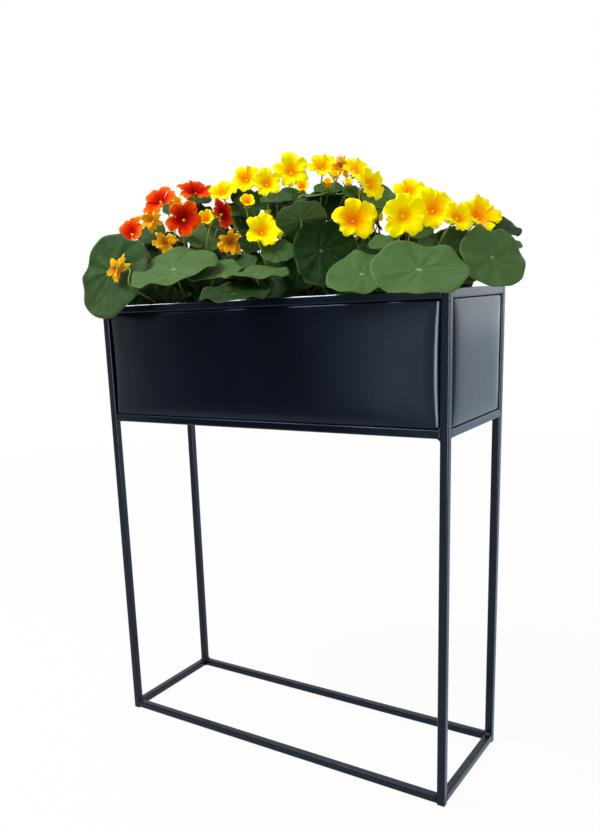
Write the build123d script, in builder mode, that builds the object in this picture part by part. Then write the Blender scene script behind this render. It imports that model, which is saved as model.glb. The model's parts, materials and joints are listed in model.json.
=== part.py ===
from build123d import *
from collections import namedtuple
from math import cos, radians, sin, sqrt, tan
import os

# Overall sizes of the stand, in millimetres
LENGTH = 600  # along X, outside the posts
DEPTH = 220  # along Y, outside the posts
HEIGHT = 732  # floor to the top of the rim
TROUGH_RING_HEIGHT = 540  # floor to the underside of the ring that carries the trough

# Square tube of the posts and rails
TUBE = 12
TUBE_WALL = 1.2
TUBE_CORNER = 2.0

# Caps and foot plugs that close the posts
CAP_THICKNESS = 1.2
FOOT_HEAD = 1.5
FOOT_STEM = 18
FOOT_CLEARANCE = 0.6  # each side of the stem inside the tube
FOOT_RIB = 1.5
FOOT_RIB_PITCH = 5
FOOT_RIB_CLEARANCE = 0.1
FOOT_RIBS = 3

# Weld fillets under the trough ring and on the base ring
WELD_LEG = 5.0
WELD_THROAT = 1.8

# Sheet panels and floor of the trough
SHEET = 1.0
PANEL_FLANGE = 10
PANEL_BEND = 2.5
PANEL_RECESS = 1.4
FLOOR_CLEARANCE = 2.0
DRAIN_RADIUS = 4
DRAIN_COUNT = 3
DRAIN_SPACING = 180

# Lift-out liner and the soil in it
LINER_CLEARANCE = 2.0
LINER_DROP = 6  # rim of the liner below the rim of the stand
LINER_WALL = 1.6
LINER_LIP = 5
LINER_LIP_THICKNESS = 2
LINER_DRAFT = 2.0
LINER_CORNER = 18
LINER_BASE_BEVEL = 6
SOIL_DROP = 30  # soil below the rim of the liner
SOIL_CLEARANCE = 0.5

# Leaves, flowers and their stalks
END_MARGIN = 110  # the end plants stand this far inside the ends of the stand
LEAF_THICKNESS = 1.2
LEAF_CUP = 0.10  # rise of the rim as a share of the radius
LEAF_LOBES = 8
LEAF_NOTCH = 0.04  # depth of the notches between the lobes as a share of the radius
LEAF_NECK = 10  # straight run of a stalk behind a leaf, square to it
STALK_RADIUS = 1.5
STALK_SIDES = 5
STALK_SPREAD = 0.3  # share of the way from the crown to the first bend where a stalk leaves the soil
STALK_BURIED = 8  # length made below the soil before the stalk is cut level with it
CALYX_RADIUS = 2.2
CALYX_LENGTH = 9
PETALS = 5
PETAL_OUTLINE = [(-36, 0.6), (-18, 0.95), (0, 1), (18, 0.95)]  # angle and share of the radius
PETAL_THICKNESS = 1.0
PETAL_FLARE = 0.45  # rise of the petals' edge as a share of the radius
FLOWER_NECK = 16  # straight run of a stalk behind a flower, square to it
LARGE_FLOWER = 32
SMALL_FLOWER = 25
WITHERED_FLOWER = 11
WITHERED_LENGTH = 3  # length of a withered flower as a multiple of its radius
WITHERED_WAIST = 0.6  # width of its tip and height of its widest place, as shares

# Derived places
CLEAR_LENGTH = LENGTH - 2 * TUBE
CLEAR_DEPTH = DEPTH - 2 * TUBE
POST_X = (LENGTH - TUBE) / 2
POST_Y = (DEPTH - TUBE) / 2
TUBE_INSIDE = TUBE - 2 * TUBE_WALL
PANEL_BASE = TROUGH_RING_HEIGHT + TUBE
PANEL_HEIGHT = HEIGHT - TUBE - PANEL_BASE
FLOOR_BASE = PANEL_BASE + SHEET
FLOOR_LENGTH = LENGTH - 2 * (PANEL_RECESS + SHEET + FLOOR_CLEARANCE)
FLOOR_DEPTH = DEPTH - 2 * (PANEL_RECESS + SHEET + FLOOR_CLEARANCE)
LINER_BASE = FLOOR_BASE + SHEET
LINER_TOP = HEIGHT - LINER_DROP
CUT_CHANGE = 2 - sqrt(2)  # growth of a corner cut per millimetre of outward offset
RIM_LENGTH = CLEAR_LENGTH - 2 * LINER_CLEARANCE
RIM_DEPTH = CLEAR_DEPTH - 2 * LINER_CLEARANCE
TUB_LENGTH = RIM_LENGTH - 2 * LINER_LIP
TUB_DEPTH = RIM_DEPTH - 2 * LINER_LIP
SOIL_TOP = LINER_TOP - SOIL_DROP
CROWN_X = {"left": END_MARGIN - LENGTH / 2, "middle": 0, "right": LENGTH / 2 - END_MARGIN}
ROW_Y = {"front": -DEPTH / 2, "middle": 0, "back": DEPTH / 2}

# Planting plan. A leaf has its row, its hub from the plant's crown along X, from the row along Y
# and above the rim, the compass heading and tilt of its upper face, and its radius.
# Extra bends of its stalk, where it has any, are written like the hub.
LEAVES = {
    "left": [
        ("front", -80, -2, 56, -92, 66, 62),
        ("front", 50, 0, 50, -85, 26, 70),
        ("front", 108, 25, 42, -70, 20, 44),
        ("middle", 41, 0, 102, -60, 50, 32),
        ("middle", -124, 50, 58, 170, 50, 50),
        ("back", 0, -10, 58, 95, 30, 60),
    ],
    "middle": [
        ("front", 5, 10, 34, -55, 11, 48),
        ("front", 3, -45, 8, -65, 15, 52, [(-30, 6, 14)]),
        ("middle", 6, -40, 66, -60, 45, 26),
        ("middle", 55, -52, 107, 127, 35, 38),
        ("middle", 62, -5, 142, -60, 8, 34),
        ("middle", 88, -55, 62, -58, 66, 42),
        ("back", 0, 40, 26, 88, 18, 62, [(0, -6, 16)]),
    ],
    "right": [
        ("front", -20, 18, 24, -70, 33, 50),
        ("front", 70, -2, 24, -58, 35, 62),
        ("middle", 130, -14, 36, -35, 62, 48),
        ("middle", -16, -40, 66, -80, 35, 18),
        ("middle", 112, 62, 66, -10, 35, 36),
        ("middle", -57, 40, 135, -40, 50, 27),
        ("back", -70, -5, 52, 80, 30, 58),
        ("back", 45, -10, 50, 70, 35, 55),
    ],
}

# A flower has the middle of its face from the crown along X and Y and above the rim, then its heading,
# tilt and radius, and any extra bends of its stalk.
FLOWERS = {
    "left": [
        (-100, -45, 123, -100, 62, LARGE_FLOWER),
        (-50, -20, 173, -90, 55, LARGE_FLOWER),
        (25, -45, 133, -50, 75, LARGE_FLOWER),
        (15, 5, 183, -40, 35, LARGE_FLOWER),
        (100, -35, 133, -5, 75, SMALL_FLOWER),
        (-30, 60, 120, 110, 60, SMALL_FLOWER),
    ],
    "middle": [
        (-15, -45, 103, -45, 55, LARGE_FLOWER),
        (-120, 0, 173, -70, 45, SMALL_FLOWER),
        (-80, 12, 188, -60, 60, SMALL_FLOWER),
        (-20, -20, 171, -50, 70, SMALL_FLOWER),
        (-15, 45, 194, -50, 70, LARGE_FLOWER),
        (45, 35, 192, -55, 50, SMALL_FLOWER),
        (110, 20, 178, -30, 50, SMALL_FLOWER),
        (-60, 65, 128, 80, 55, SMALL_FLOWER),
    ],
    "right": [
        (-50, 5, 153, -20, 75, SMALL_FLOWER),
        (-55, -42, 103, -50, 72, LARGE_FLOWER),
        (29, -60, 100, -50, 78, LARGE_FLOWER),
        (51, -12, 109, -50, 65, LARGE_FLOWER),
        (97, -42, 92, -30, 60, SMALL_FLOWER),
        (5, 10, 138, -60, 55, SMALL_FLOWER),
        (100, 30, 98, -30, 50, LARGE_FLOWER),
        (-90, 70, 118, 100, 60, SMALL_FLOWER),
        (-28, 75, 100, 90, 60, SMALL_FLOWER),
    ],
}

# Withered flowers and buds of the left plant, with their row, by their middle and otherwise like the flowers.
WITHERED = [
    ("front", -50, -30, 58, -150, 95, WITHERED_FLOWER, [(-12, 6, 12), (-16, -40, 30)]),
    ("middle", -76, -10, 141, -90, 80, WITHERED_FLOWER),
    ("middle", 110, -40, 88, -60, 110, WITHERED_FLOWER),
    ("middle", -5, -62, 97, -60, 80, WITHERED_FLOWER),
]

os.makedirs("parts", exist_ok=True)


def save(part, name):
    """Label a finished piece and write it to its own file."""
    part.label = name
    export_step(part, f"parts/{name}.step")


# Posts and rails
def square_tube(name, plane, length):
    """Hollow square tube that starts on the plane and runs along its normal."""
    with BuildPart() as tube:
        with BuildSketch(plane):
            RectangleRounded(TUBE, TUBE, TUBE_CORNER)
            Rectangle(TUBE_INSIDE, TUBE_INSIDE, mode=Mode.SUBTRACT)
        extrude(amount=length)
    save(tube.part, name)


SIDES = {"front": -1, "back": 1}
ENDS = {"left": -1, "right": 1}
RINGS = {"base": FOOT_HEAD, "trough": TROUGH_RING_HEIGHT, "top": HEIGHT - TUBE}
POST_LENGTH = HEIGHT - FOOT_HEAD - CAP_THICKNESS

for side, sy in SIDES.items():
    for end, sx in ENDS.items():
        foot = Plane((sx * POST_X, sy * POST_Y, FOOT_HEAD))
        square_tube(f"post_{side}_{end}", foot, POST_LENGTH)

for ring, underside in RINGS.items():
    level = underside + TUBE / 2
    for side, sy in SIDES.items():
        start = Plane((-CLEAR_LENGTH / 2, sy * POST_Y, level), x_dir=(0, 1, 0), z_dir=(1, 0, 0))
        square_tube(f"{ring}_rail_{side}", start, CLEAR_LENGTH)
    for end, sx in ENDS.items():
        start = Plane((sx * POST_X, -CLEAR_DEPTH / 2, level), x_dir=(1, 0, 0), z_dir=(0, 1, 0))
        square_tube(f"{ring}_rail_{end}", start, CLEAR_DEPTH)

# Caps welded on the posts
with BuildPart() as post_caps:
    with BuildSketch(Plane.XY.offset(HEIGHT - CAP_THICKNESS)):
        with GridLocations(2 * POST_X, 2 * POST_Y, 2, 2):
            RectangleRounded(TUBE, TUBE, TUBE_CORNER)
    extrude(amount=CAP_THICKNESS)
save(post_caps.part, "post_caps")

# Foot plugs: a square head under the tube and a ribbed stem inside it
with BuildPart() as foot_plugs:
    with BuildSketch():
        with GridLocations(2 * POST_X, 2 * POST_Y, 2, 2):
            RectangleRounded(TUBE, TUBE, TUBE_CORNER)
    extrude(amount=FOOT_HEAD)
    with BuildSketch(Plane.XY.offset(FOOT_HEAD)):
        with GridLocations(2 * POST_X, 2 * POST_Y, 2, 2):
            Rectangle(TUBE_INSIDE - 2 * FOOT_CLEARANCE, TUBE_INSIDE - 2 * FOOT_CLEARANCE)
    extrude(amount=FOOT_STEM)
    rib_width = TUBE_INSIDE - 2 * FOOT_RIB_CLEARANCE
    for rib in range(FOOT_RIBS):
        with BuildSketch(Plane.XY.offset(FOOT_HEAD + FOOT_RIB + rib * FOOT_RIB_PITCH)):
            with GridLocations(2 * POST_X, 2 * POST_Y, 2, 2):
                Rectangle(rib_width, rib_width)
        extrude(amount=FOOT_RIB)
save(foot_plugs.part, "foot_plugs")


# Weld fillets
def ring_welds(name, level, rise):
    """Hollow fillets in the corners between a ring and the posts, below it (rise -1) or above it (rise 1)."""
    corners = []
    for sx in ENDS.values():
        for sy in SIDES.values():
            along_x = Plane((sx * CLEAR_LENGTH / 2, sy * POST_Y, level), (-sx, 0, 0), (0, sx * rise, 0))
            along_y = Plane((sx * POST_X, sy * CLEAR_DEPTH / 2, level), (0, -sy, 0), (-sy * rise, 0, 0))
            corners += [along_x, along_y]
    with BuildPart() as welds:
        with BuildSketch(*corners):
            with BuildLine():
                bead = ThreePointArc((WELD_LEG, 0), (WELD_THROAT, WELD_THROAT), (0, WELD_LEG))
                Polyline(bead @ 1, (0, 0), bead @ 0)
            make_face()
        extrude(amount=TUBE / 2 - TUBE_CORNER, both=True)
    save(welds.part, name)


ring_welds("trough_ring_welds", TROUGH_RING_HEIGHT, -1)
ring_welds("base_ring_welds", FOOT_HEAD + TUBE, 1)


# Trough panels
def pan_panel(name, base, width):
    """Shallow pan that fills one opening of the frame: a face, rounded edges and folded flanges.

    The base plane lies on the trough ring, with x along the panel and y outwards.
    """
    outwards = Axis(base.origin, base.y_dir)
    with BuildPart() as pan:
        with BuildSketch(base):
            Rectangle(width, PANEL_FLANGE, align=(Align.CENTER, Align.MAX))
        extrude(amount=PANEL_HEIGHT)
        fillet(pan.faces().sort_by(outwards)[-1].edges(), PANEL_BEND)
        offset(amount=-SHEET, openings=pan.faces().sort_by(outwards)[0])
    save(pan.part, name)


for side, sy in SIDES.items():
    face_y = sy * (DEPTH / 2 - PANEL_RECESS)
    pan_panel(f"{side}_panel", Plane((0, face_y, PANEL_BASE), x_dir=(sy, 0, 0), z_dir=(0, 0, 1)), CLEAR_LENGTH)
for end, sx in ENDS.items():
    face_x = sx * (LENGTH / 2 - PANEL_RECESS)
    pan_panel(f"{end}_panel", Plane((face_x, 0, PANEL_BASE), x_dir=(0, -sx, 0), z_dir=(0, 0, 1)), CLEAR_DEPTH)

# Trough floor: a sheet on the panels' lower flanges, notched round the posts and drained
with BuildPart() as trough_floor:
    with BuildSketch(Plane.XY.offset(FLOOR_BASE)):
        Rectangle(FLOOR_LENGTH, FLOOR_DEPTH)
        notch = FLOOR_LENGTH - CLEAR_LENGTH + 2 * FLOOR_CLEARANCE
        with GridLocations(FLOOR_LENGTH, FLOOR_DEPTH, 2, 2):
            Rectangle(notch, notch, mode=Mode.SUBTRACT)
        with GridLocations(DRAIN_SPACING, 0, DRAIN_COUNT, 1):
            Circle(DRAIN_RADIUS, mode=Mode.SUBTRACT)
    extrude(amount=SHEET)
save(trough_floor.part, "trough_floor")


# Liner and soil
def tray_block(length, depth, corner, top, base, draft):
    """Block with its corners cut at 45 degrees, which narrows downwards by its draft."""
    with BuildPart() as block:
        with BuildSketch(Plane.XY.offset(top)) as outline:
            Rectangle(length, depth)
            chamfer(outline.vertices(), corner)
        extrude(amount=top - base, dir=(0, 0, -1), taper=draft)
    return block.part


def drafted_tray(length, depth, corner, top, base):
    """Block of the liner's draft with bevelled base edges."""
    block = tray_block(length, depth, corner, top, base, LINER_DRAFT)
    with BuildPart() as tray:
        add(block)
        chamfer(tray.faces().sort_by(Axis.Z)[0].edges(), LINER_BASE_BEVEL)
    return tray.part


HOLLOW_LENGTH = TUB_LENGTH - 2 * LINER_WALL
HOLLOW_DEPTH = TUB_DEPTH - 2 * LINER_WALL
HOLLOW_CORNER = LINER_CORNER - CUT_CHANGE * LINER_WALL
HOLLOW_BASE = LINER_BASE + LINER_WALL
LIP_CORNER = LINER_CORNER + CUT_CHANGE * LINER_LIP
lip_block = tray_block(RIM_LENGTH, RIM_DEPTH, LIP_CORNER, LINER_TOP, LINER_TOP - LINER_LIP_THICKNESS, 0)
tub_block = drafted_tray(TUB_LENGTH, TUB_DEPTH, LINER_CORNER, LINER_TOP, LINER_BASE)
hollow_block = drafted_tray(HOLLOW_LENGTH, HOLLOW_DEPTH, HOLLOW_CORNER, LINER_TOP, HOLLOW_BASE)

with BuildPart() as liner:
    add(lip_block)
    add(tub_block)
    add(hollow_block, mode=Mode.SUBTRACT)
    with BuildSketch(Plane.XY.offset(LINER_BASE)):
        with GridLocations(DRAIN_SPACING, 0, DRAIN_COUNT, 1):
            Circle(DRAIN_RADIUS)
    extrude(amount=LINER_WALL, mode=Mode.SUBTRACT)
save(liner.part, "liner")

SOIL_INSET = SOIL_CLEARANCE + SOIL_DROP * tan(radians(LINER_DRAFT))
SOIL_LENGTH = HOLLOW_LENGTH - 2 * SOIL_INSET
SOIL_DEPTH = HOLLOW_DEPTH - 2 * SOIL_INSET
soil = drafted_tray(SOIL_LENGTH, SOIL_DEPTH, HOLLOW_CORNER, SOIL_TOP, HOLLOW_BASE)
save(soil, "soil")


# Forms of the planting
def ring_of(count, outline):
    """Outline of unit radius: a list of (angle, distance) points repeated round the origin."""
    turn = 360 / count
    return [Vector(reach, 0).rotate(Axis.Z, i * turn + angle) for i in range(count) for angle, reach in outline]


LEAF_RIM = ring_of(LEAF_LOBES, [(0, 1), (180 / LEAF_LOBES, 1 - LEAF_NOTCH)])
TRUMPET_RIM = ring_of(2 * PETALS, [(0, 1)])
FLOWER_RIM = ring_of(PETALS, PETAL_OUTLINE)


def stacked(rim, *stations):
    """Points of an outline copied to (height, radius) stations."""
    return [Vector(point.X * radius, point.Y * radius, height) for height, radius in stations for point in rim]


def leaf_form(radius):
    """Round blade on a central hub: shallow and cupped, with a lobed rim, hub underside on the origin."""
    hub = 2 * STALK_RADIUS
    rise = LEAF_CUP * radius
    edge = rise + LEAF_THICKNESS
    with BuildPart() as form:
        ConvexPolyhedron(stacked(LEAF_RIM, (0, hub), (rise, radius), (edge, radius)))
        ConvexPolyhedron(stacked(LEAF_RIM, (LEAF_THICKNESS, hub), (edge, radius)), mode=Mode.SUBTRACT)
    return form.part


def flower_depth(radius):
    """Distance from the end of the calyx to the petals' edge."""
    return CALYX_LENGTH + PETAL_FLARE * radius


def withered_depth(radius):
    """Distance from the end of the calyx to the middle of a withered flower."""
    return WITHERED_LENGTH * radius / 2


def flower_form(radius):
    """Trumpet on a solid calyx whose end lies on the origin, cut to the outline of the petals."""
    throat = 2 * CALYX_RADIUS
    rise = flower_depth(radius)
    edge = rise + PETAL_THICKNESS
    with BuildPart() as form:
        ConvexPolyhedron(stacked(TRUMPET_RIM, (CALYX_LENGTH, throat), (rise, radius), (edge, radius)))
        ConvexPolyhedron(
            stacked(TRUMPET_RIM, (CALYX_LENGTH + PETAL_THICKNESS, throat), (edge, radius)), mode=Mode.SUBTRACT
        )
        with BuildSketch():
            Polygon(*[point * radius for point in FLOWER_RIM], align=None)
        extrude(amount=edge, mode=Mode.INTERSECT)
        ConvexPolyhedron(stacked(TRUMPET_RIM, (0, CALYX_RADIUS), (CALYX_LENGTH, throat)))
    return form.part


def withered_form(radius):
    """Closed, shrunken flower on its calyx, end on the origin."""
    tip = WITHERED_LENGTH * radius
    waist = (WITHERED_WAIST * tip, radius)
    with BuildPart() as form:
        ConvexPolyhedron(stacked(TRUMPET_RIM, (0, CALYX_RADIUS), waist, (tip, WITHERED_WAIST * radius)))
    return form.part


# Places of the heads
Head = namedtuple("Head", "plane radius stalk")


def spot(plant, row, x, y, z):
    """Point given from a plant's crown along X, from a row along Y and above the rim."""
    return Vector(CROWN_X[plant] + x, ROW_Y[row] + y, HEIGHT + z)


def facing(point, heading, tilt):
    """Plane at a point, with its normal leaning by tilt from upright towards a compass heading."""
    lean = radians(tilt)
    turn = radians(heading)
    return Plane(point, z_dir=(sin(lean) * cos(turn), sin(lean) * sin(turn), cos(lean)))


def stalk_corners(plant, bends, plane, neck_length):
    """Corners of a stalk: in the soil near the crown, any extra bends, behind the head, and on its underside."""
    neck = plane.origin - plane.z_dir * neck_length
    corners = [*bends, neck, plane.origin]
    first = corners[0]
    crown = Vector(CROWN_X[plant], 0, SOIL_TOP)
    way = (first - crown) * STALK_SPREAD
    foot = Vector(crown.X + way.X, crown.Y + way.Y, SOIL_TOP)
    return [foot - (first - foot).normalized() * STALK_BURIED, *corners]


def leaf_head(plant, row, x, y, z, heading, tilt, radius, bends=()):
    """Head of a leaf, by its hub."""
    plane = facing(spot(plant, row, x, y, z), heading, tilt)
    places = [spot(plant, row, *bend) for bend in bends]
    return Head(plane, radius, stalk_corners(plant, places, plane, LEAF_NECK))


def flower_head(plant, depth, row, x, y, z, heading, tilt, radius, bends=()):
    """Head of a flower, by the point that lies the given depth in front of its stalk."""
    plane = facing(spot(plant, row, x, y, z), heading, tilt).offset(-depth(radius))
    places = [spot(plant, row, *bend) for bend in bends]
    return Head(plane, radius, stalk_corners(plant, places, plane, FLOWER_NECK))


def grow(name, heads, form):
    """One node of leaves or flowers: each head is its form placed on its plane."""
    forms = {radius: form(radius) for radius in {head.radius for head in heads}}
    with BuildPart() as group:
        for head in heads:
            with Locations(head.plane):
                add(forms[head.radius])
    save(group.part, name)


def stalk_form(corners):
    """One stalk, swept along straight runs and cut level with the soil."""
    with BuildPart() as stalk:
        with BuildLine():
            route = Polyline(*corners)
        with BuildSketch(Plane(route @ 0, z_dir=route % 0)):
            RegularPolygon(STALK_RADIUS, STALK_SIDES)
        sweep(transition=Transition.RIGHT)
        split(bisect_by=Plane.XY.offset(SOIL_TOP), keep=Keep.TOP)
    return stalk.part


def grow_stalks(name, heads):
    """One node of the stalks that carry the heads."""
    stalks = [stalk_form(head.stalk) for head in heads]
    with BuildPart() as group:
        add(stalks)
    save(group.part, name)


for plant in CROWN_X:
    leaves = [leaf_head(plant, *leaf) for leaf in LEAVES[plant]]
    flowers = [flower_head(plant, flower_depth, "middle", *flower) for flower in FLOWERS[plant]]
    grow(f"{plant}_plant_leaves", leaves, leaf_form)
    grow(f"{plant}_plant_flowers", flowers, flower_form)
    grow_stalks(f"{plant}_plant_leaf_stalks", leaves)
    grow_stalks(f"{plant}_plant_flower_stalks", flowers)

withered = [flower_head("left", withered_depth, *flower) for flower in WITHERED]
grow("left_plant_withered_flowers", withered, withered_form)
grow_stalks("left_plant_withered_stalks", withered)
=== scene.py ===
# %% [markdown]
# # A planted trough on a tube stand
# The measured model comes in as a fixed frame: a welded stand of square tube with pressed panels,
# and a planted liner that lifts out of it. Nothing in it is moved here. This lesson gives the tubes
# their paint, and grows real-looking leaves, flowers and stalks in the places that the frame holds.

# %% Load the frame
import json
import math
import random

import bmesh
import bpy
import numpy as np
from mathutils import Matrix, Vector, noise

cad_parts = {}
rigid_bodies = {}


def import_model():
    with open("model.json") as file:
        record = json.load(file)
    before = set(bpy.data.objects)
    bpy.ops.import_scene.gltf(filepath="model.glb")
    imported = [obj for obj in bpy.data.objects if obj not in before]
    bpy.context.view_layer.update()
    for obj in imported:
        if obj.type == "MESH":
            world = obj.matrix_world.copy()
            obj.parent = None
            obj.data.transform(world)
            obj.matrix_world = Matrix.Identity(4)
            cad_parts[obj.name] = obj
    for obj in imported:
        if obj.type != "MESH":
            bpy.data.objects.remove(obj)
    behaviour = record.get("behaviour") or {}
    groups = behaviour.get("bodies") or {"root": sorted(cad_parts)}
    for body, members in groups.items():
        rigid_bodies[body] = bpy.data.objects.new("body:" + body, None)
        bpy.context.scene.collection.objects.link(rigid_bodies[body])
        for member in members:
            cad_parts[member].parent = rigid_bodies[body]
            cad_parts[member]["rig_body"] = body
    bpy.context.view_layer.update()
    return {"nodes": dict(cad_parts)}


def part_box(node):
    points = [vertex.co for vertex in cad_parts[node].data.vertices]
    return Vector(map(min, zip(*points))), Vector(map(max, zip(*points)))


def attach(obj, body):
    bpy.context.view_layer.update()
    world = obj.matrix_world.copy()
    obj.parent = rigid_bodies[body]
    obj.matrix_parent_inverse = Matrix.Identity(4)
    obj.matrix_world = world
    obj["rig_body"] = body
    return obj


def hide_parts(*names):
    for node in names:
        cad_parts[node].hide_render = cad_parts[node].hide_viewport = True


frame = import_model()
MM = 0.001
STAND = [name for name, piece in frame["nodes"].items() if piece["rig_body"] == "frame"]
print(len(frame["nodes"]), "nodes,", len(STAND), "of them in the stand")

# %% [markdown]
# ## The camera
# The photograph was taken from the right of the front, a little above the rim, with a short lens.
# The camera is set by its place, three turns and a focal length. A small shift puts the planter
# where it stands in the picture, because the picture was trimmed off-centre.

# %% Camera
IMAGE_WIDTH = 600
IMAGE_HEIGHT = 832
FOCAL_PIXELS = 826
AXIS_PIXEL = (213.8, 493.4)
CAMERA_PLACE = (0.691, -1.141, 0.735)
CAMERA_TURN = 37.03
CAMERA_PITCH = -13.23
CAMERA_ROLL = -3.17


def put(name, data):
    made = bpy.data.objects.new(name, data)
    bpy.context.scene.collection.objects.link(made)
    return made


def turned(degrees, axis):
    return Matrix.Rotation(math.radians(degrees), 4, axis)


lens = bpy.data.cameras.new("photo_camera")
lens.sensor_width = 36
lens.lens = lens.sensor_width * FOCAL_PIXELS / IMAGE_HEIGHT
lens.shift_x = (IMAGE_WIDTH / 2 - AXIS_PIXEL[0]) / IMAGE_HEIGHT
lens.shift_y = (AXIS_PIXEL[1] - IMAGE_HEIGHT / 2) / IMAGE_HEIGHT
camera = put("photo_camera", lens)
aimed = turned(CAMERA_TURN, "Z") @ turned(90 + CAMERA_PITCH, "X") @ turned(CAMERA_ROLL, "Z")
camera.matrix_world = Matrix.Translation(CAMERA_PLACE) @ aimed
bpy.context.scene.camera = camera
bpy.context.scene.view_settings.view_transform = "Standard"
print("lens", round(lens.lens, 2), "mm")

# %% [markdown]
# ## Small helpers for node trees
# Every finish below is a tree of shader nodes. A few short helpers keep the cells readable. The first
# wires or sets the inputs of a node, the second adds a node, and the rest are its common uses: sums,
# a smooth remap, a mix of colours, noise, bump and groups with named sockets.

# %% Node helpers
def feed(made, ins):
    for key, value in ins.items():
        if isinstance(value, bpy.types.NodeSocket):
            made.id_data.links.new(value, made.inputs[key])
        else:
            made.inputs[key].default_value = value


def add(tree, kind, ins=None, **settings):
    made = tree.nodes.new("ShaderNode" + kind)
    for name, value in settings.items():
        setattr(made, name, value)
    feed(made, ins or {})
    return made


def calc(tree, operation, a, b=0.0, clamp=False):
    return add(tree, "Math", {0: a, 1: b}, operation=operation, use_clamp=clamp).outputs[0]


def times(tree, a, b):
    return calc(tree, "MULTIPLY", a, b)


def remap(tree, value, low, high, to_low=0.0, to_high=1.0):
    ins = {"Value": value, "From Min": low, "From Max": high, "To Min": to_low, "To Max": to_high}
    return add(tree, "MapRange", ins, interpolation_type="SMOOTHSTEP").outputs[0]


def mingle(tree, factor, a, b):
    return add(tree, "Mix", {0: factor, 6: a, 7: b}, data_type="RGBA").outputs[2]


def speckle(tree, scale, detail):
    spot = add(tree, "TexCoord").outputs["Object"]
    return add(tree, "TexNoise", {"Vector": spot, "Scale": scale, "Detail": detail}).outputs[0]


def bump(tree, height, distance, **more):
    return add(tree, "Bump", {"Height": height, "Distance": distance, **more}).outputs[0]


def rgb(red, green, blue):
    # A colour as a picture shows it, 0 to 255, turned into the linear light that shaders add up
    parts = (red, green, blue)
    return (*[((c / 255 + 0.055) / 1.055) ** 2.4 if c > 10 else c / 255 / 12.92 for c in parts], 1.0)


print("node helpers ready")


# %% Groups and finishes
def new_group(name, inputs, outputs):
    tree = bpy.data.node_groups.new(name, "ShaderNodeTree")
    for label, value in inputs.items():
        kind = "NodeSocketVector" if isinstance(value, tuple) else "NodeSocketFloat"
        tree.interface.new_socket(label, in_out="INPUT", socket_type=kind).default_value = value
    for label in outputs:
        tree.interface.new_socket(label, in_out="OUTPUT", socket_type="NodeSocketFloat")
    return tree, tree.nodes.new("NodeGroupInput").outputs, tree.nodes.new("NodeGroupOutput")


def use_group(tree, group, ins):
    return add(tree, "Group", ins, node_tree=group).outputs


def new_finish(name):
    material = bpy.data.materials.new(name)
    material.use_nodes = True
    return material, material.node_tree, material.node_tree.nodes["Principled BSDF"]


print("group helpers ready")

# %% [markdown]
# ## Floor and light
# The planter stands on a pale floor in front of nothing. The floor is nearly white to the camera, and
# a small share of it is lit by the lamps, so the feet still cast a faint shadow. That share fades with
# distance, so no horizon shows. Black satin paint shows what stands around it rather than its own
# colour, so cards that only reflections see give it something to show: a dark one to the left of the
# camera keeps the front deep, and two cool ones behind the right end make that end blue-grey. Three of
# the five lamps are there for gloss on metal alone: they draw the bright lines along rounded edges.

# %% Floor
FLOOR_TONE = (0.82, 0.82, 0.82, 1)
FLOOR_HALF = 12
GLOW = 0.94
GLOW_FADE = (1.0, 4.0)


def card(name, low, high, finish):
    # A flat card between two opposite corners, with two of its edges level
    (x0, y0, z0), (x1, y1, z1) = low, high
    mesh = bpy.data.meshes.new(name)
    mesh.from_pydata([(x0, y0, z0), (x1, y0, z0), (x1, y1, z1), (x0, y1, z1)], [], [(0, 1, 2, 3)])
    mesh.materials.append(finish)
    made = put(name, mesh)
    return made


def seen_directly(tree):
    path = add(tree, "LightPath").outputs
    direct = calc(tree, "MAXIMUM", path["Is Camera Ray"], path["Is Glossy Ray"])
    return calc(tree, "MAXIMUM", direct, path["Is Transmission Ray"])


floor_finish, tree, shader = new_finish("studio_floor")
feed(shader, {"Base Color": FLOOR_TONE, "Roughness": 0.9, "Specular IOR Level": 0.0})
glow = add(tree, "Emission", {"Strength": 1.0})
spot = add(tree, "TexCoord").outputs["Object"]
away = add(tree, "VectorMath", {0: spot}, operation="LENGTH").outputs["Value"]
share = times(tree, seen_directly(tree), remap(tree, away, *GLOW_FADE, GLOW, 1.0))
both = add(tree, "MixShader", {0: share, 1: shader.outputs[0], 2: glow.outputs[0]})
feed(tree.nodes["Material Output"], {"Surface": both.outputs[0]})
card("studio_floor", (-FLOOR_HALF, -FLOOR_HALF, 0), (FLOOR_HALF, FLOOR_HALF, 0), floor_finish)
print("floor", 2 * FLOOR_HALF, "m wide")

# %% Cards that only reflections see
DARK = (0.01, 0.012, 0.016, 1)
COOL = (0.76, 0.87, 1.0, 1)
COOL_GLOW = 0.54
CARDS = {
    "front_card": ((-1.50, -1.50, 0.02), (-0.45, -1.50, 1.30), DARK, 0.0),
    "end_card": ((0.40, 2.60, -0.05), (2.60, 2.60, 0.55), COOL, COOL_GLOW),
    "low_card": ((0.302, -0.12, 0.002), (2.60, 2.60, 0.002), COOL, COOL_GLOW),
}
for name, (low, high, colour, strength) in CARDS.items():
    finish, tree, shader = new_finish(name)
    feed(shader, {"Base Color": colour, "Roughness": 1.0, "Specular IOR Level": 0.0,
                  "Emission Color": colour, "Emission Strength": strength})
    made = card(name, low, high, finish)
    made.visible_camera = False
    made.visible_diffuse = False
    made.visible_shadow = False
print("cards:", *CARDS)

# %% World and lamps
world = bpy.data.worlds.new("studio")
bpy.context.scene.world = world
world.use_nodes = True
tree = world.node_tree
soft = add(tree, "Background", {"Color": (0.92, 0.96, 1.0, 1), "Strength": 0.62})
white = add(tree, "Background", {"Color": (1, 1, 1, 1), "Strength": 1.0})
both = add(tree, "MixShader", {0: seen_directly(tree), 1: soft.outputs[0], 2: white.outputs[0]})
feed(tree.nodes["World Output"], {"Surface": both.outputs[0]})


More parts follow.
